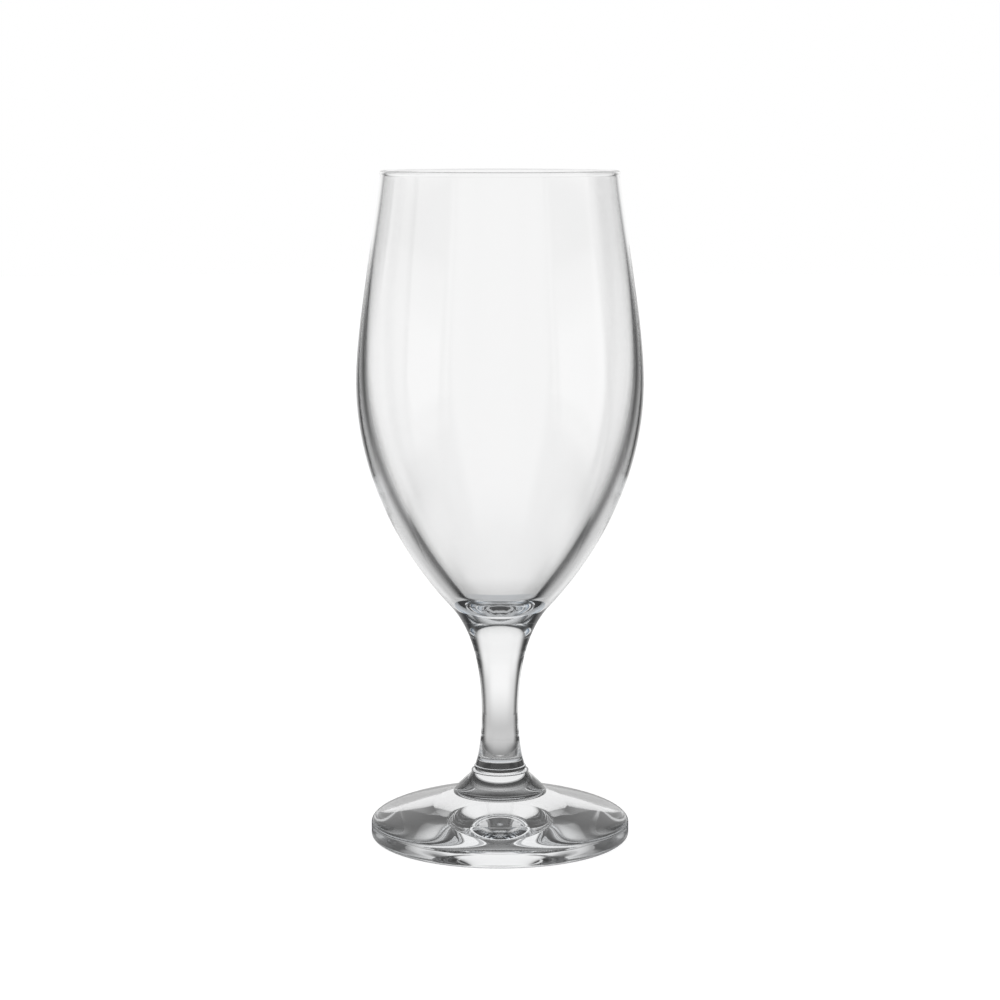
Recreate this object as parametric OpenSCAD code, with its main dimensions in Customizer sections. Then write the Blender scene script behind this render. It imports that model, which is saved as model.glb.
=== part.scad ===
// Stemmed beer glass: a blown tulip bowl, a drawn stem, a two-step collar and a pressed foot,
// fused to each other face to face. All sizes are in millimetres, and the foot rests on z = 0.

/* [Bowl] */
// Outside diameter of the rim
rim_d = 69; // [64:0.5:74]
// Largest outside diameter of the bowl, at its belly
belly_d = 83.2; // [79:0.2:90]
// Height of the bowl from its seat on the stem to the rim
bowl_h = 127; // [112:1:145]
// Height of the belly above the seat
belly_h = 66; // [56:1:76]
// Diameter of the seat, where the bowl is fused to the stem
seat_d = 27.6; // [25:0.2:30]
// Wall of the bowl under the rim
rim_wall = 1.25; // [1:0.05:1.6]
// Wall of the bowl beside its floor
base_wall = 5.65; // [4.2:0.05:6.4]
// Thickness of the melted bead on the rim
bead_d = 1.7; // [1.65:0.05:2.4]
// Glass under the level middle of the floor, above the seat
floor_t = 1.2; // [0.8:0.1:3]
// Diameter of the level middle of the floor
floor_d = 5.4; // [3:0.2:8]
// Radius at which the side wall starts to round into the floor
floor_r = 12.8; // [11.5:0.1:15]

/* [Bowl curve] */
// Outward lean of the wall under the rim, in millimetres for each millimetre of height
rim_lean = 0.11; // [0.05:0.01:0.2]
// Height over which the wall keeps its lean under the rim
rim_hold = 17; // [8:1:26]
// Height over which the wall stands upright above the belly
belly_hold_up = 17; // [8:1:26]
// Height over which the wall stands upright below the belly
belly_hold_down = 29; // [20:1:38]
// Slope of the wall at the seat, in millimetres of radius for each millimetre of height
seat_slope = 0.95; // [0.7:0.01:1.1]
// Height over which the wall keeps its slope above the seat
seat_hold = 13.4; // [8:0.2:18]

/* [Stem] */
// Height of the stem
stem_h = 46.85; // [36:0.05:60]
// Diameter of the waist of the stem
waist_d = 10.75; // [9:0.05:13]
// Height of the waist above the lower end of the stem
waist_h = 15.3; // [12:0.1:20]
// Diameter of the lower end of the stem
stem_end_d = 14.4; // [13.2:0.1:15]
// Slope of the flare at the seat, in millimetres of radius for each millimetre of height
flare_slope = 0.73; // [0.5:0.01:0.9]

/* [Collar] */
// Height of the upper ring of the collar
upper_ring_h = 1.5; // [0.8:0.05:2]
// Height of the lower ring of the collar
lower_ring_h = 0.4; // [0.3:0.05:1.6]
// Diameter of the faces of the lower ring, and of the flat top of the hub under it
lower_ring_d = 15.8; // [15.2:0.1:18]
// How far the upper ring bulges out past its faces
upper_bulge = 0.45; // [0.2:0.05:0.6]
// How far the lower ring bulges out past its faces
lower_bulge = 0.55; // [0.2:0.05:0.7]

/* [Foot] */
// Diameter of the foot
foot_d = 76; // [70:1:86]
// Height of the foot and its hub
foot_h = 19.25; // [18:0.05:24]
// Diameter of the hub at the lower end of its flank
hub_d = 26.4; // [24.5:0.2:30]
// Height of the lower end of the hub's flank
hub_base_h = 13.7; // [12.5:0.1:15]
// Width of the fillet between hub and disc
fillet_w = 0.7; // [0.4:0.1:1.6]
// Height of the fillet between hub and disc
fillet_h = 0.7; // [0.4:0.1:1.2]
// Fall of the top of the disc, in millimetres for each millimetre of radius
disc_fall = 0.31; // [0.2:0.01:0.34]
// Height of the upright edge of the foot above the table
edge_h = 4; // [3.2:0.1:4.8]
// Radius of the rounding under the edge
edge_round = 1; // [0.6:0.1:2]
// Width of the flat ring that the foot rests on
rest_w = 1; // [0.8:0.1:4]
// Height of the hollow under the foot
hollow_h = 1.5; // [1:0.1:3]
// Diameter of the level part of the hollow
hollow_d = 35.6; // [32:0.2:44]
// Rise of the middle of the hollow above its level part
dome_h = 0.8; // [0:0.1:1.6]

/* [Hidden] */

// Segments round the axis and along one curve of an outline
$fn = 144;
curve_steps = 28;
bead_steps = 16;

// Heights of the faces where the pieces are fused
collar_z = foot_h;
stem_z = collar_z + lower_ring_h + upper_ring_h;
bowl_z = stem_z + stem_h;

// A point and a direction on a cubic curve through four guide points
function curve(g, t) =
    pow(1 - t, 3) * g[0] + 3 * pow(1 - t, 2) * t * g[1] + 3 * (1 - t) * t * t * g[2] + pow(t, 3) * g[3];
function heading(g, t) =
    let (d = pow(1 - t, 2) * (g[1] - g[0]) + 2 * (1 - t) * t * (g[2] - g[1]) + t * t * (g[3] - g[2]))
    d / norm(d);
function along(g, steps = curve_steps) = [for (i = [0:steps]) curve(g, i / steps)];

// Points of a list after its first one, so that two curves share one point where they meet
function rest(points) = [for (i = [1:len(points) - 1]) points[i]];
function backwards(points) = [for (i = [len(points) - 1:-1:0]) points[i]];

// Points that lie outside radius r, and a last one on it
function down_to(points, r) =
    let (
        outside = [for (p = points) if (p[0] > r) p],
        a = outside[len(outside) - 1],
        b = points[len(outside)]
    )
    concat(outside, [a + (a[0] - r) / (a[0] - b[0]) * (b - a)]);

// Smooth rise from 0 to 1
function ease(x) = let (u = min(max(x, 0), 1)) u * u * (3 - 2 * u);

// Bulged edge of a ring with faces at radius r, from height z0 to z1.
// A bend of 2 is an ellipse, a larger one has squarer corners and a smaller one a keener edge.
function ring_edge(r, z0, z1, bulge, bend) =
    [for (i = [0:bead_steps])
        let (a = 180 * i / bead_steps - 90)
        [r + bulge * pow(cos(a), 2 / bend),
         (z0 + z1) / 2 + (z1 - z0) / 2 * sign(sin(a)) * pow(abs(sin(a)), 2 / bend)]];

// Solid of revolution from an outline of [radius, height] points
module turned(outline) {
    rotate_extrude() polygon(outline);
}

// Bowl: the wall hangs from the middle of the rim bead, and thickens towards the floor
bead_r = bead_d / 2;
bead_in = rim_d / 2 - bead_r;
wall_out = bead_in + rim_wall / 2;
bead_cut = acos(rim_wall / 2 / bead_r);
wall_top = bowl_h - bead_r - bead_r * sin(bead_cut);
bead = [for (i = [0:bead_steps])
    let (a = -bead_cut + (180 + 2 * bead_cut) * i / bead_steps)
    [bead_in + bead_r * cos(a), bowl_h - bead_r + bead_r * sin(a)]];
// Share of the bowl's height, below the rim, over which the wall keeps its rim thickness
even_share = 0.16;
// Below 1, the wall gains its thickness earlier on the way down
gain = 0.84;
upper_guide = [
    [wall_out, wall_top],
    [wall_out + rim_lean * rim_hold, wall_top - rim_hold],
    [belly_d / 2, belly_h + belly_hold_up],
    [belly_d / 2, belly_h]
];
lower_guide = [
    [belly_d / 2, belly_h],
    [belly_d / 2, belly_h - belly_hold_down],
    [seat_d / 2 + seat_slope * seat_hold, seat_hold],
    [seat_d / 2, 0]
];

function wall(z) =
    rim_wall
    + (base_wall - rim_wall) * pow(ease(((bowl_h - z) / bowl_h - even_share) / (1 - even_share)), gain);
function inner_point(g, t) =
    let (p = curve(g, t), d = heading(g, t))
    p + wall(p[1]) * [d[1], -d[0]];
function inner_side(g) = [for (i = [1:curve_steps]) inner_point(g, i / curve_steps)];

side = concat(inner_side(upper_guide), down_to(inner_side(lower_guide), floor_r));
side_end = side[len(side) - 1];
side_heading = (side_end - side[len(side) - 2]) / norm(side_end - side[len(side) - 2]);
// The floor's curve leans on the side wall for this share of the drop, and then eases into the level
floor_turn = 0.61;
floor_ease = 0.1;
floor_drop = side_end[1] - floor_t;
floor_guide = [
    side_end,
    side_end + side_heading * floor_turn * floor_drop / -side_heading[1],
    [floor_d / 2 + floor_ease * (floor_r - floor_d / 2), floor_t],
    [floor_d / 2, floor_t]
];

module bowl() {
    color([0.87, 0.9, 0.9, 0.4])
    translate([0, 0, bowl_z])
    turned(concat(
        [[0, 0]],
        backwards(concat(along(upper_guide), rest(along(lower_guide)))),
        bead,
        side,
        rest(along(floor_guide, bead_steps)),
        [[0, floor_t]]
    ));
}

// Stem: a solid waist between the flare under the bowl and a short flare above the collar
flare_hold = 2.7;
waist_hold_down = 8.5;
end_slope = 0.29;
end_hold = 2.3;
// Share of the height between waist and seat that the stem stands upright
upright_share = 0.67;
flare_guide = [
    [waist_d / 2, waist_h],
    [waist_d / 2, waist_h + upright_share * (stem_h - waist_h)],
    [seat_d / 2 - flare_slope * flare_hold, stem_h - flare_hold],
    [seat_d / 2, stem_h]
];
end_guide = [
    [stem_end_d / 2, 0],
    [stem_end_d / 2 - end_slope * end_hold, end_hold],
    [waist_d / 2, waist_h - waist_hold_down],
    [waist_d / 2, waist_h]
];

module stem() {
    color([0.84, 0.88, 0.88, 0.5])
    translate([0, 0, stem_z])
    turned(concat([[0, 0]], along(end_guide), rest(along(flare_guide)), [[0, stem_h]]));
}

// Collar: two stacked rings with bulged edges, the lower one wider
upper_bend = 1.75;
lower_bend = 3.2;

module collar() {
    color([0.8, 0.85, 0.86, 0.5])
    translate([0, 0, collar_z])
    turned(concat(
        [[0, 0]],
        ring_edge(lower_ring_d / 2, 0, lower_ring_h, lower_bulge, lower_bend),
        ring_edge(stem_end_d / 2, lower_ring_h, lower_ring_h + upper_ring_h, upper_bulge, upper_bend),
        [[0, lower_ring_h + upper_ring_h]]
    ));
}

// Foot: hub, disc and fillet pressed in one, with a rounded edge and a shallow hollow underneath
hub_slope = 0.89;
hub_hold = 2.3;
hub_end_slope = 0.56;
hub_end_hold = 1.7;
fillet_bend = 0.44;
disc_hold = 13.5;
shoulder_h = 2.65;
lip_w = 1.3;
lip_slope = 0.36;
level_hold = 4.6;
edge_steps = 10;
edge_r = foot_d / 2;
fillet_end = [hub_d / 2 + fillet_w, hub_base_h - fillet_h];
hub_guide = [
    [lower_ring_d / 2, foot_h],
    [lower_ring_d / 2 + hub_slope * hub_hold, foot_h - hub_hold],
    [hub_d / 2 - hub_end_slope * hub_end_hold, hub_base_h + hub_end_hold],
    [hub_d / 2, hub_base_h]
];
// Corner of the fillet, where the line of the hub's flank meets the line of the disc
fillet_back = (fillet_w - hub_end_slope * fillet_h) / (1 - hub_end_slope * disc_fall);
fillet_corner = fillet_end + fillet_back * [-1, disc_fall];
fillet_guide = [
    hub_guide[3],
    hub_guide[3] + fillet_bend * (fillet_corner - hub_guide[3]),
    fillet_end + fillet_bend * (fillet_corner - fillet_end),
    fillet_end
];
disc_guide = [
    fillet_end,
    fillet_end + disc_hold * [1, -disc_fall],
    [edge_r, edge_h + shoulder_h],
    [edge_r, edge_h]
];
edge = [for (i = [0:edge_steps])
    let (a = -90 * i / edge_steps)
    [edge_r - edge_round + edge_round * cos(a), edge_round + edge_round * sin(a)]];
hollow_r = edge_r - edge_round - rest_w;
hollow_guide = [
    [hollow_r, 0],
    [hollow_r - lip_w, lip_slope * lip_w],
    [hollow_d / 2 + level_hold, hollow_h],
    [hollow_d / 2, hollow_h]
];
dome_guide = [
    [hollow_d / 2, hollow_h],
    [hollow_d / 3, hollow_h + 0.3 * dome_h],
    [hollow_d / 6, hollow_h + dome_h],
    [0, hollow_h + dome_h]
];

module foot() {
    color([0.85, 0.88, 0.89, 0.45])
    turned(concat(
        [[0, foot_h]],
        along(hub_guide, bead_steps),
        rest(along(fillet_guide, bead_steps)),
        rest(along(disc_guide)),
        edge,
        along(hollow_guide, bead_steps),
        rest(along(dome_guide, bead_steps))
    ));
}

foot();
collar();
stem();
bowl();
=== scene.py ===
import math

import bmesh
import bpy
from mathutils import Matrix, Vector


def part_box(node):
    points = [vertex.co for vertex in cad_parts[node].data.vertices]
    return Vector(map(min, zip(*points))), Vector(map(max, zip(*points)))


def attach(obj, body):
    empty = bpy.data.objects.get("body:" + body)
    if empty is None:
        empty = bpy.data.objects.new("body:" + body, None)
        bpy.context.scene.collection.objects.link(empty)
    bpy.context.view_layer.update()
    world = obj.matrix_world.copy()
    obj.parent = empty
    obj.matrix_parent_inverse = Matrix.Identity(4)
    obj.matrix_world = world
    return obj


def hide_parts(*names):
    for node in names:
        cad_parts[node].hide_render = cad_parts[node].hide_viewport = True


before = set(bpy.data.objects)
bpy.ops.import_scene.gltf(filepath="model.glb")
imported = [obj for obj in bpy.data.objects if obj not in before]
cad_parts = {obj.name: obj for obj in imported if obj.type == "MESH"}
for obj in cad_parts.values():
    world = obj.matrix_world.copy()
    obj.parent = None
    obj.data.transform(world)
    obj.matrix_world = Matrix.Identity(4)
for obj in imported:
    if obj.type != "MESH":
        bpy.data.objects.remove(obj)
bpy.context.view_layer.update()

scene = bpy.context.scene

# Foot: clear soda-lime glass, pressed in one piece in an iron mould while soft.
# It is a disc with a conical hub, a small fillet, a rounded edge and a hollow underside, so that it
# stands on a narrow ring. The hub's level top is heated and fused to the collar.
mm = 0.001
foot_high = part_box("foot")[1]
foot_h = foot_high.z / mm
edge_r = foot_high.x / mm
hub_top_r = 7.9
hub_r = 13.2
hub_base_h = 13.7
hub_top_slope = 0.89
hub_top_hold = 2.3
hub_end_slope = 0.56
hub_end_hold = 1.7
fillet_w = 0.7
fillet_h = 0.7
fillet_bend = 0.44
disc_fall = 0.31
disc_hold = 13.5
shoulder_h = 2.65
edge_h = 4
edge_round = 1
rest_w = 1
lip_w = 1.3
lip_slope = 0.36
hollow_h = 1.5
level_r = 17.8
level_hold = 4.6
dome_h = 0.8


def curve(guide, steps=64):
    """Points on a cubic curve through four guide points (radius, height), with the direction at each."""
    points = []
    a, b, c, d = (Vector(p) for p in guide)
    for i in range(steps + 1):
        t = i / steps
        s = 1 - t
        place = s ** 3 * a + 3 * s * s * t * b + 3 * s * t * t * c + t ** 3 * d
        heading = (s * s * (b - a) + 2 * s * t * (c - b) + t * t * (d - c)).normalized()
        points.append((place, heading))
    return points


def places(guide, steps=64):
    return [place for place, heading in curve(guide, steps)]


def arc(centre, radius, start, end, steps):
    """Points round a circle, between two angles in degrees."""
    angles = [math.radians(start + (end - start) * i / steps) for i in range(steps + 1)]
    return [Vector((centre[0] + radius * math.cos(a), centre[1] + radius * math.sin(a))) for a in angles]


def clear_glass(name, bend=1.52):
    """Clear soda-lime glass that tints light a little where it is thick.
    With a bend of 1 it is the fused seam inside the glass, which light crosses straight."""
    tint_colour = (0.88, 0.9, 0.92, 1)
    tint_density = 6
    material = bpy.data.materials.new(name)
    material.use_nodes = True
    tree = material.node_tree
    shader = tree.nodes["Principled BSDF"]
    shader.inputs["Base Color"].default_value = (1, 1, 1, 1)
    shader.inputs["Roughness"].default_value = 0
    shader.inputs["IOR"].default_value = bend
    shader.inputs["Transmission Weight"].default_value = 1
    tint = tree.nodes.new("ShaderNodeVolumeAbsorption")
    tint.inputs["Color"].default_value = tint_colour
    tint.inputs["Density"].default_value = tint_density
    tree.links.new(tint.outputs[0], tree.nodes["Material Output"].inputs["Volume"])
    return material


def turned(name, outline, seams=()):
    """A closed solid turned round the glass's axis from an outline in millimetres.
    The level faces at the heights in seams are fused to a neighbour and get the seam's material.
    Each is kept a hair inside the piece, so that two fused faces don't lie in one plane."""
    turns = 256
    seam_gap = 0.01
    on_axis = 0.0001
    crease = math.radians(25)
    middle = (outline[0][1] + outline[-1][1]) / 2
    low_seams = [z + seam_gap for z in seams if z < middle]
    high_seams = [z - seam_gap for z in seams if z > middle]
    bottom = max(low_seams, default=-math.inf)
    top = min(high_seams, default=math.inf)
    shape = bmesh.new()
    rings = []
    for radius, height in outline:
        level = min(max(height, bottom), top)
        if radius < on_axis:
            rings.append([shape.verts.new((0, 0, level * mm))])
            continue
        rings.append([
            shape.verts.new((radius * mm * math.cos(a), radius * mm * math.sin(a), level * mm))
            for a in (2 * math.pi * i / turns for i in range(turns))
        ])
    for lower, upper in zip(rings, rings[1:]):
        low_z, high_z = lower[0].co.z / mm, upper[0].co.z / mm
        fused = any(max(abs(low_z - z), abs(high_z - z)) < seam_gap / 10 for z in low_seams + high_seams)
        for i in range(turns):
            j = (i + 1) % turns
            around = ((lower, i), (lower, j), (upper, j), (upper, i))
            corners = [ring[k % len(ring)] for ring, k in around]
            face = shape.faces.new(list(dict.fromkeys(corners)))
            face.smooth = True
            face.material_index = int(fused)
    bmesh.ops.recalc_face_normals(shape, faces=shape.faces)
    for edge in shape.edges:
        edge.smooth = edge.calc_face_angle(0) < crease
    mesh = bpy.data.meshes.new(name)
    shape.to_mesh(mesh)
    shape.free()
    mesh.materials.append(clear_glass(name + "_glass"))
    mesh.materials.append(clear_glass(name + "_seam", bend=1))
    piece = bpy.data.objects.new(name, mesh)
    scene.collection.objects.link(piece)
    return piece


hub_flank = places([
    (hub_top_r, foot_h),
    (hub_top_r + hub_top_slope * hub_top_hold, foot_h - hub_top_hold),
    (hub_r - hub_end_slope * hub_end_hold, hub_base_h + hub_end_hold),
    (hub_r, hub_base_h),
])
fillet_end = Vector((hub_r + fillet_w, hub_base_h - fillet_h))
fillet_back = (fillet_w - hub_end_slope * fillet_h) / (1 - hub_end_slope * disc_fall)
fillet_corner = fillet_end + fillet_back * Vector((-1, disc_fall))
fillet = places([
    hub_flank[-1],
    hub_flank[-1].lerp(fillet_corner, fillet_bend),
    fillet_end.lerp(fillet_corner, fillet_bend),
    fillet_end,
], 24)
disc_top = places([
    fillet_end,
    fillet_end + disc_hold * Vector((1, -disc_fall)),
    (edge_r, edge_h + shoulder_h),
    (edge_r, edge_h),
], 96)
foot_edge = arc((edge_r - edge_round, edge_round), edge_round, 0, -90, 24)
hollow_r = edge_r - edge_round - rest_w
hollow = places([
    (hollow_r, 0),
    (hollow_r - lip_w, lip_slope * lip_w),
    (level_r + level_hold, hollow_h),
    (level_r, hollow_h),
])
dome = places([
    (level_r, hollow_h),
    (level_r * 2 / 3, hollow_h + 0.3 * dome_h),
    (level_r / 3, hollow_h + dome_h),
    (0, hollow_h + dome_h),
])
foot_outline = dome[:0:-1] + hollow[::-1] + foot_edge[::-1]
foot_outline += disc_top[::-1] + fillet[-2::-1] + hub_flank[-2::-1]
foot = turned("pressed_foot", foot_outline + [Vector((0, foot_h))], seams=[foot_h])
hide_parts("foot")
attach(foot, "root")

# Collar: two soft rings of clear glass, laid on each other between foot and stem and melted together.
# The lower one is thin and squeezed out past the hub's top. The upper one is as wide as the stem's end.
collar_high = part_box("collar")[1]
collar_top = collar_high.z / mm
lower_ring_h = 0.4
lower_ring_r = hub_top_r
lower_bulge = 0.55
lower_bend = 3.2
upper_ring_r = 7.2
upper_bulge = 0.45
upper_bend = 1.75


def ring_edge(radius, low, high, bulge, bend, steps=32):
    """Bulged edge of a ring. A bend of 2 is an ellipse, and a larger one has squarer corners."""
    points = []
    for i in range(steps + 1):
        a = math.pi * i / steps - math.pi / 2
        out = math.cos(a) ** (2 / bend) if 0 < i < steps else 0
        up = math.copysign(abs(math.sin(a)) ** (2 / bend), a)
        points.append(Vector((radius + bulge * out, (low + high) / 2 + (high - low) / 2 * up)))
    return points


ring_seat = foot_h + lower_ring_h
collar_outline = [Vector((0, foot_h))]
collar_outline += ring_edge(lower_ring_r, foot_h, ring_seat, lower_bulge, lower_bend)
collar_outline += ring_edge(upper_ring_r, ring_seat, collar_top, upper_bulge, upper_bend)
collar_outline += [Vector((0, collar_top))]
collar = turned("ringed_collar", collar_outline, seams=[foot_h, collar_top])
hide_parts("collar")
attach(collar, "root")

# Stem: solid clear glass, drawn out of the bowl's gather while hot, so that it narrows to a waist.
# A short flare at its lower end sits on the collar, and a long one carries the bowl.
stem_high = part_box("stem")[1]
stem_top = stem_high.z / mm
waist_r = 5.375
waist_h = collar_top + 15.3
waist_hold_down = 8.5
stem_end_r = upper_ring_r
end_slope = 0.29
end_hold = 2.3
upright_share = 0.67
seat_r = stem_high.x / mm
flare_slope = 0.73
flare_hold = 2.7
stem_outline = [Vector((0, collar_top))]
stem_outline += places([
    (stem_end_r, collar_top),
    (stem_end_r - end_slope * end_hold, collar_top + end_hold),
    (waist_r, waist_h - waist_hold_down),
    (waist_r, waist_h),
])
stem_outline += places([
    (waist_r, waist_h),
    (waist_r, waist_h + upright_share * (stem_top - waist_h)),
    (seat_r - flare_slope * flare_hold, stem_top - flare_hold),
    (seat_r, stem_top),
], 96)[1:]
stem_outline += [Vector((0, stem_top))]
stem = turned("drawn_stem", stem_outline, seams=[collar_top, stem_top])
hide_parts("stem")
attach(stem, "root")

# Bowl: clear glass, blown into a tulip shape, with a wall that thickens from the rim to a heavy base.
# The rim is cut and then melted in a flame, which leaves a small round bead.
bowl_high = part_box("bowl")[1]
bowl_top = bowl_high.z / mm
bowl_h = bowl_top - stem_top
belly_r = bowl_high.x / mm
belly_h = stem_top + 66
belly_hold_up = 17
belly_hold_down = 29
rim_r = 34.5
rim_lean = 0.11
rim_hold = 17
rim_wall = 1.25
base_wall = 5.65
bead_r = 0.85
seat_slope = 0.95
seat_hold = 13.4
floor_z = stem_top + 1.2
level_floor_r = 2.7
floor_r = 12.8
bead_in = rim_r - bead_r
bead_cut = math.acos(rim_wall / 2 / bead_r)
wall_top = bowl_top - bead_r - bead_r * math.sin(bead_cut)
upper_wall = [
    (bead_in + rim_wall / 2, wall_top),
    (bead_in + rim_wall / 2 + rim_lean * rim_hold, wall_top - rim_hold),
    (belly_r, belly_h + belly_hold_up),
    (belly_r, belly_h),
]
lower_wall = [
    (belly_r, belly_h),
    (belly_r, belly_h - belly_hold_down),
    (seat_r + seat_slope * seat_hold, stem_top + seat_hold),
    (seat_r, stem_top),
]


def wall(height):
    """Thickness of the bowl's wall: even near the rim, then more and more down to the floor."""
    even_share = 0.16
    gain = 0.84
    share = min(max(((bowl_top - height) / bowl_h - even_share) / (1 - even_share), 0), 1)
    share = share * share * (3 - 2 * share)
    return rim_wall + (base_wall - rim_wall) * share ** gain


def inner(guide):
    """The inside of the wall, square to its outside."""
    return [place + wall(place[1]) * Vector((run[1], -run[0])) for place, run in curve(guide, 96)]


lower_inside = inner(lower_wall)[1:]
side = inner(upper_wall)[1:] + [p for p in lower_inside if p[0] > floor_r]
below = lower_inside[sum(p[0] > floor_r for p in lower_inside)]
side.append(side[-1].lerp(below, (side[-1][0] - floor_r) / (side[-1][0] - below[0])))
down = (side[-1] - side[-2]).normalized()
# The floor leans on the side wall for most of its drop, and then eases into the level middle
floor_turn = 0.61
floor_ease = 0.1
floor = places([
    side[-1],
    side[-1] + down * (floor_turn * (side[-1][1] - floor_z) / -down[1]),
    (level_floor_r + floor_ease * (floor_r - level_floor_r), floor_z),
    (level_floor_r, floor_z),
])
bead_angle = math.degrees(bead_cut)
bead = arc((bead_in, bowl_top - bead_r), bead_r, -bead_angle, 180 + bead_angle, 32)
bowl_outline = [Vector((0, stem_top))] + places(lower_wall, 96)[::-1] + places(upper_wall, 96)[-2::-1]
bowl_outline += bead + side + floor[1:] + [Vector((0, floor_z))]
bowl = turned("blown_bowl", bowl_outline, seams=[stem_top])
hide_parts("bowl")
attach(bowl, "root")

# Studio: soft white panels round the glass in a dim room. Clear glass shows only its surroundings:
# its body shows the bright sweep behind it, and its edges show the dark gaps at both sides.
# Angles are in degrees from the glass. Azimuth 0 is straight behind it, and the right is positive.


def maths(tree, operation, *values):
    node = tree.nodes.new("ShaderNodeMath")
    node.operation = operation
    for socket, value in zip(node.inputs, values):
        if isinstance(value, (int, float)):
            socket.default_value = value
        else:
            tree.links.new(value, socket)
    return node.outputs[0]


def fading(tree, distance, reach, fade):
    """1 inside a panel and 0 outside it, with a soft border."""
    border = tree.nodes.new("ShaderNodeMapRange")
    border.interpolation_type = "SMOOTHSTEP"
    border.inputs["From Min"].default_value = reach + fade
    border.inputs["From Max"].default_value = reach - fade
    tree.links.new(distance, border.inputs["Value"])
    return border.outputs[0]


def mixed(tree, factor, under, over):
    mix = tree.nodes.new("ShaderNodeMix")
    tree.links.new(factor, mix.inputs["Factor"])
    for socket, value in ((mix.inputs["A"], under), (mix.inputs["B"], over)):
        if isinstance(value, (int, float)):
            socket.default_value = value
        else:
            tree.links.new(value, socket)
    return mix.outputs[0]


def panel(tree, under, brightness, where, across, up):
    """Lays a panel over the light so far. across and up are its middle, half size and soft border."""
    azimuth, elevation = where
    turn = maths(tree, "WRAP", maths(tree, "SUBTRACT", azimuth, across[0]), 180, -180)
    aside = maths(tree, "ABSOLUTE", turn)
    above = maths(tree, "ABSOLUTE", maths(tree, "SUBTRACT", elevation, up[0]))
    cover = maths(tree, "MULTIPLY", fading(tree, aside, *across[1:]), fading(tree, above, *up[1:]))
    return mixed(tree, cover, under, brightness)


def both_sides(tree, under, right, left, where, across, up):
    """A panel at the right and its mirror image at the left, each with its own brightness."""
    light = panel(tree, under, right, where, across, up)
    return panel(tree, light, left, where, (-across[0], across[1], across[2]), up)


def studio_light(tree, azimuth, elevation):
    """Brightness of the studio and its table towards an azimuth and an elevation, given as sockets. Below
    the horizon it is the table, with its light and shade painted on it.
    """
    where = (azimuth, elevation)
    dim_room = 0.05
    # The table in front of the glass
    light = panel(tree, dim_room, 0.55, where, across=(180, 60, 12), up=(-26, 18, 6))
    # White sheet behind the camera
    light = panel(tree, light, 0.65, where, across=(180, 46, 4), up=(14, 34, 8))
    # Pale table under the front half of the foot and just before it
    light = panel(tree, light, 0.50, where, across=(180, 90, 10), up=(-66, 26, 4))
    # Softbox at the right, from beside the glass to beside the camera
    light = panel(tree, light, 0.80, where, across=(109, 23, 2), up=(-4, 13, 3))
    # Larger softbox at the left
    light = panel(tree, light, 0.80, where, across=(-95, 36, 2), up=(-4, 13, 3))
    # Painted pools of the softboxes' light on the table at both sides
    light = both_sides(tree, light, 1.00, 1.00, where, across=(90, 24, 10), up=(-32, 9, 7))
    # Strip lamps high at both sides
    light = both_sides(tree, light, 0.62, 0.62, where, across=(50.5, 5.5, 2), up=(50, 10, 5))
    # White paper sweep behind the glass, which rises over it
    light = panel(tree, light, 0.90, where, across=(0, 40, 15), up=(15, 38, 12))
    # Pale screens beyond the sweep's edges, down to the table, the left one brighter
    light = both_sides(tree, light, 0.55, 1.00, where, across=(65, 15.5, 4), up=(-12, 15, 7))
    # Table at the edges of the lit part of the sweep
    light = both_sides(tree, light, 0.60, 0.65, where, across=(40, 21, 14), up=(-22, 21, 7))
    # Middle of the sweep, where it is lit most
    light = panel(tree, light, 0.97, where, across=(0, 22, 15), up=(-13, 29, 25))
    # Table between the sweep and the foot
    light = panel(tree, light, 0.55, where, across=(0, 42, 14), up=(-29, 10.5, 12))
    # Dimmer middle of the screens, under the strip lamps
    light = both_sides(tree, light, 0.36, 0.46, where, across=(47, 3, 3), up=(34, 13, 6))
    # Painted shade on the table between sweep and softboxes, which darkens the edges of stem and foot
    light = both_sides(tree, light, 0.02, 0.02, where, across=(52, 11, 11.5), up=(-43, 22, 1.5))
    # Painted shadow of the foot on the table, under its back half
    light = panel(tree, light, 0.05, where, across=(0, 32, 16), up=(-67, 11, 1.5))
    # Painted bright patch on the table under the foot's back edge, for the light that the foot gathers
    # there
    light = panel(tree, light, 0.90, where, across=(0, 2.5, 6.5), up=(-59.5, 1, 0.8))
    return light


world = bpy.data.worlds.new("studio")
world.use_nodes = True
sky = world.node_tree
sky.nodes.clear()
direction = sky.nodes.new("ShaderNodeSeparateXYZ")
sky.links.new(sky.nodes.new("ShaderNodeTexCoord").outputs["Generated"], direction.inputs[0])
sky_azimuth = maths(sky, "DEGREES", maths(sky, "ARCTAN2", direction.outputs["X"], direction.outputs["Y"]))
sky_elevation = maths(sky, "DEGREES", maths(sky, "ARCSINE", direction.outputs["Z"]))
sky_path = sky.nodes.new("ShaderNodeLightPath")
sky_light = sky.nodes.new("ShaderNodeBackground")
sky_out = sky.nodes.new("ShaderNodeOutputWorld")
seen = mixed(sky, sky_path.outputs["Is Camera Ray"], studio_light(sky, sky_azimuth, sky_elevation), 1)
sky_light.inputs["Color"].default_value = (1, 1, 1, 1)
sky.links.new(seen, sky_light.inputs["Strength"])
sky.links.new(sky_light.outputs[0], sky_out.inputs["Surface"])
scene.world = world
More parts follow.
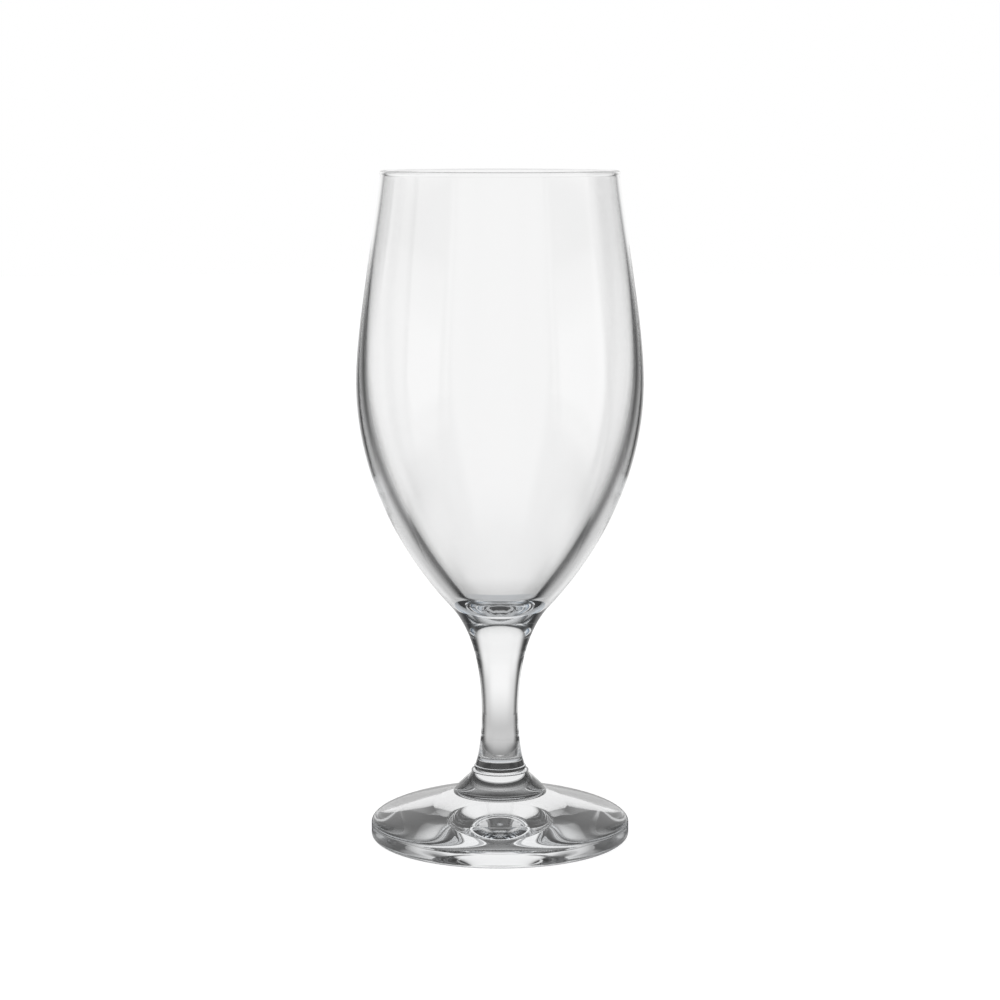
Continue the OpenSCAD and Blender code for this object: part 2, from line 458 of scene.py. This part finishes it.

# Table: a plain white top that the glass stands on. To the camera it is white, apart from a faint shadow.
# In the glass it shows painted light and shade, which it gives off itself: bright behind, dark at both
# sides, and a painted shadow under the foot's back half.
# A place on it glows as bright as the studio is in its direction from a point a little above the foot.
table_r = 3
table_drop = 0.1 * mm
sight_h = 60 * mm
table_white = 0.88
table_grey = (0.8, 0.8, 0.8, 1)
table_mesh = bpy.data.meshes.new("table_top")
table_shape = bmesh.new()
bmesh.ops.create_circle(table_shape, cap_ends=True, segments=64, radius=table_r)
table_shape.to_mesh(table_mesh)
table_shape.free()
table = bpy.data.objects.new("table_top", table_mesh)
table.location.z = -table_drop
scene.collection.objects.link(table)
table_paint = bpy.data.materials.new("white_table")
table_paint.use_nodes = True
table_paint.cycles.emission_sampling = "NONE"
paint = table_paint.node_tree
paint.nodes.clear()
spot = paint.nodes.new("ShaderNodeSeparateXYZ")
paint.links.new(paint.nodes.new("ShaderNodeNewGeometry").outputs["Position"], spot.inputs[0])
across, back = spot.outputs["X"], spot.outputs["Y"]
table_azimuth = maths(paint, "DEGREES", maths(paint, "ARCTAN2", across, back))
across_squared = maths(paint, "MULTIPLY", across, across)
back_squared = maths(paint, "MULTIPLY", back, back)
distance = maths(paint, "SQRT", maths(paint, "ADD", across_squared, back_squared))
table_elevation = maths(paint, "DEGREES", maths(paint, "ARCTAN2", -sight_h, distance))
# Painted light and shade of the table, given off as its own glow, for light that has met the glass
painted_table_light = paint.nodes.new("ShaderNodeEmission")
paint.links.new(studio_light(paint, table_azimuth, table_elevation), painted_table_light.inputs["Strength"])
matt = paint.nodes.new("ShaderNodeBsdfDiffuse")
matt.inputs["Color"].default_value = table_grey
white = paint.nodes.new("ShaderNodeEmission")
white.inputs["Strength"].default_value = table_white
paper = paint.nodes.new("ShaderNodeAddShader")
paint.links.new(matt.outputs[0], paper.inputs[0])
paint.links.new(white.outputs[0], paper.inputs[1])
table_path = paint.nodes.new("ShaderNodeLightPath")
shown = paint.nodes.new("ShaderNodeMixShader")
paint.links.new(table_path.outputs["Is Camera Ray"], shown.inputs["Fac"])
paint.links.new(painted_table_light.outputs[0], shown.inputs[1])
paint.links.new(paper.outputs[0], shown.inputs[2])
table_out = paint.nodes.new("ShaderNodeOutputMaterial")
paint.links.new(shown.outputs[0], table_out.inputs["Surface"])
table_mesh.materials.append(table_paint)

# Black cards: one of thin board stands on the table at each side of the glass, curved round it.
# A white studio needs them, as the edges of clear glass are dark only where something dark is near.
# They are out of the picture: only light that has met the glass meets them.
card_r = 150
card_angle = 47
card_half_angle = 8
card_fade_angle = 8
card_middle_h = 80
card_half_h = 130
card_fade_h = 56
card_top = card_middle_h + card_half_h + card_fade_h
card_grey = 0.06
card_steps = 12
card_mesh = bpy.data.meshes.new("black_cards")
card_shape = bmesh.new()
for side_sign in (-1, 1):
    uprights = []
    for i in range(card_steps + 1):
        turn = card_angle + (card_half_angle + card_fade_angle) * (2 * i / card_steps - 1)
        turn = math.radians(turn) * side_sign
        x, y = card_r * mm * math.sin(turn), card_r * mm * math.cos(turn)
        uprights.append([card_shape.verts.new((x, y, h * mm)) for h in (0, card_top)])
    for (low_a, high_a), (low_b, high_b) in zip(uprights, uprights[1:]):
        card_shape.faces.new((low_a, low_b, high_b, high_a))
card_shape.to_mesh(card_mesh)
card_shape.free()
cards = bpy.data.objects.new("black_cards", card_mesh)
scene.collection.objects.link(cards)
card_paint = bpy.data.materials.new("black_card")
card_paint.use_nodes = True
card_paint.cycles.emission_sampling = "NONE"
felt = card_paint.node_tree
felt.nodes.clear()
point = felt.nodes.new("ShaderNodeSeparateXYZ")
felt.links.new(felt.nodes.new("ShaderNodeNewGeometry").outputs["Position"], point.inputs[0])
point_azimuth = maths(felt, "DEGREES", maths(felt, "ARCTAN2", point.outputs["X"], point.outputs["Y"]))
from_behind = maths(felt, "ABSOLUTE", point_azimuth)
aside = maths(felt, "ABSOLUTE", maths(felt, "SUBTRACT", from_behind, card_angle))
above = maths(felt, "ABSOLUTE", maths(felt, "SUBTRACT", point.outputs["Z"], card_middle_h * mm))
width_cover = fading(felt, aside, card_half_angle, card_fade_angle)
height_cover = fading(felt, above, card_half_h * mm, card_fade_h * mm)
card_path = felt.nodes.new("ShaderNodeLightPath")
mirrored, bent = card_path.outputs["Is Glossy Ray"], card_path.outputs["Is Transmission Ray"]
met_glass = maths(felt, "MAXIMUM", mirrored, bent)
solid = maths(felt, "MULTIPLY", maths(felt, "MULTIPLY", width_cover, height_cover), met_glass)
clear = felt.nodes.new("ShaderNodeBsdfTransparent")
black = felt.nodes.new("ShaderNodeEmission")
black.inputs["Strength"].default_value = card_grey
card_face = felt.nodes.new("ShaderNodeMixShader")
felt.links.new(solid, card_face.inputs["Fac"])
felt.links.new(clear.outputs[0], card_face.inputs[1])
felt.links.new(black.outputs[0], card_face.inputs[2])
card_out = felt.nodes.new("ShaderNodeOutputMaterial")
felt.links.new(card_face.outputs[0], card_out.inputs["Surface"])
card_mesh.materials.append(card_paint)

# Camera: it stands where the photograph's did, a little above the rim and tilted slightly down.
# Light passes through many glass faces here, so the paths are long.
camera_distance = 0.735
camera_height = 0.206
camera_tilt = math.radians(8.22)
focal_pixels = 2551
photo_pixels = 1000
camera = bpy.data.objects.new("camera", bpy.data.cameras.new("camera"))
camera.data.sensor_width = 36
camera.data.lens = focal_pixels / photo_pixels * camera.data.sensor_width
camera.data.clip_start = 0.01
camera.location = (0, -camera_distance, camera_height)
camera.rotation_euler = (math.pi / 2 - camera_tilt, 0, 0)
scene.collection.objects.link(camera)
scene.camera = camera
scene.view_settings.view_transform = "Standard"
scene.cycles.max_bounces = 40
scene.cycles.transmission_bounces = 40
scene.cycles.glossy_bounces = 24
scene.cycles.transparent_max_bounces = 16
